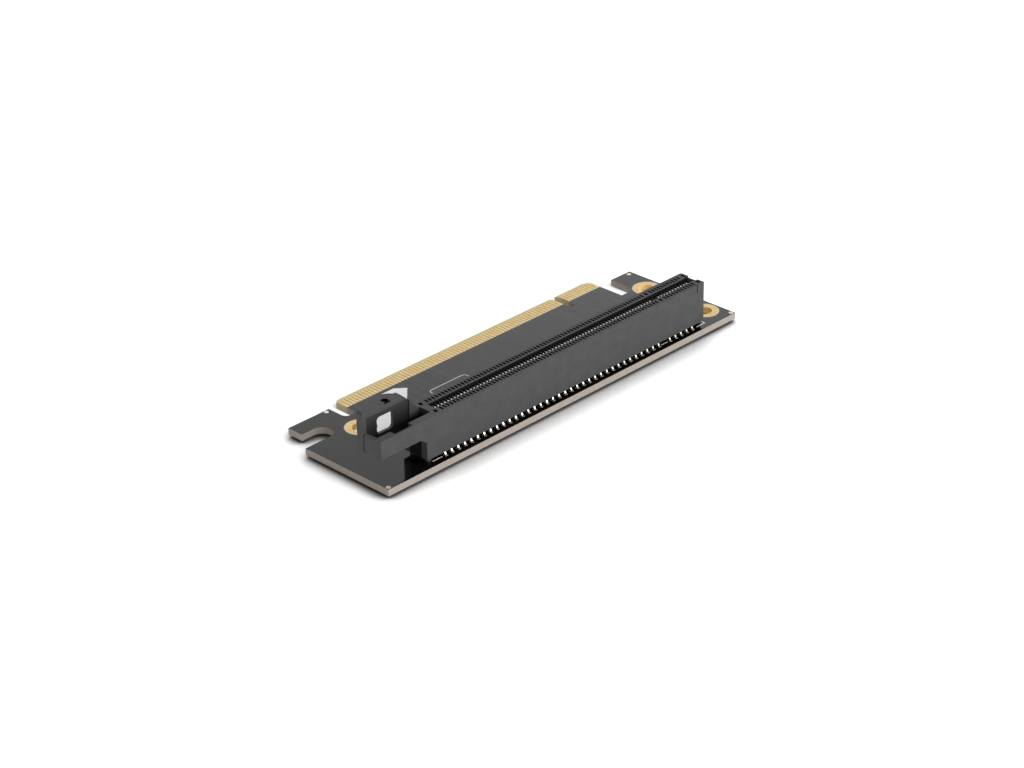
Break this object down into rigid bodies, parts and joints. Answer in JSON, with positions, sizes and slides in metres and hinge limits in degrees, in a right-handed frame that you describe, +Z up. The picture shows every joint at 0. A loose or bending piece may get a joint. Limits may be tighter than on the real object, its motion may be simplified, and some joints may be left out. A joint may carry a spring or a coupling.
{
  "type": "pcie riser card",
  "caption": "Flat riser board with a card-edge tongue along its back and an upright keyed card slot, with a retention loop, along its front.",
  "frame": {"origin": "on the board's underside, below the middle of the card slot", "axes": "+X along the slot towards its short section, +Y towards the card-edge tongue, +Z up out of the slot's mouth"},
  "size_m": [0.1152, 0.0384, 0.0185],
  "materials": {
    "board_laminate": "glossy black solder mask on glass-epoxy laminate",
    "housing_plastic": "satin moulded plastic",
    "finger_gold": "gold plated",
    "hole_gold": "gold plated",
    "pad_tin": "tinned",
    "contact_metal": "bright plated spring metal",
    "solder_tin": "solder",
    "print_white": "white printed ink"
  },
  "bodies": {
    "root": {"circuit_board": "board_laminate", "slot_housing": "housing_plastic", "corner_pads": "pad_tin", "edge_fingers_top_long": "finger_gold", "edge_fingers_top_short": "finger_gold", "hole_plating_left": "hole_gold", "hole_plating_rear_right": "hole_gold", "hole_plating_front_right": "hole_gold", "contacts_front_outer_long": "contact_metal", "contacts_front_outer_short": "contact_metal", "contacts_front_inner_long": "contact_metal", "contacts_front_inner_short": "contact_metal", "contacts_back_outer_long": "contact_metal", "contacts_back_outer_short": "contact_metal", "contacts_back_inner_long": "contact_metal", "contacts_back_inner_short": "contact_metal", "solder_front_outer": "solder_tin", "solder_front_inner": "solder_tin", "solder_back_outer": "solder_tin", "solder_back_inner": "solder_tin", "printed_outline": "print_white", "printed_frame": "print_white", "printed_label_patch": "print_white", "printed_serial_patch": "print_white"}
  },
  "joints": []
}
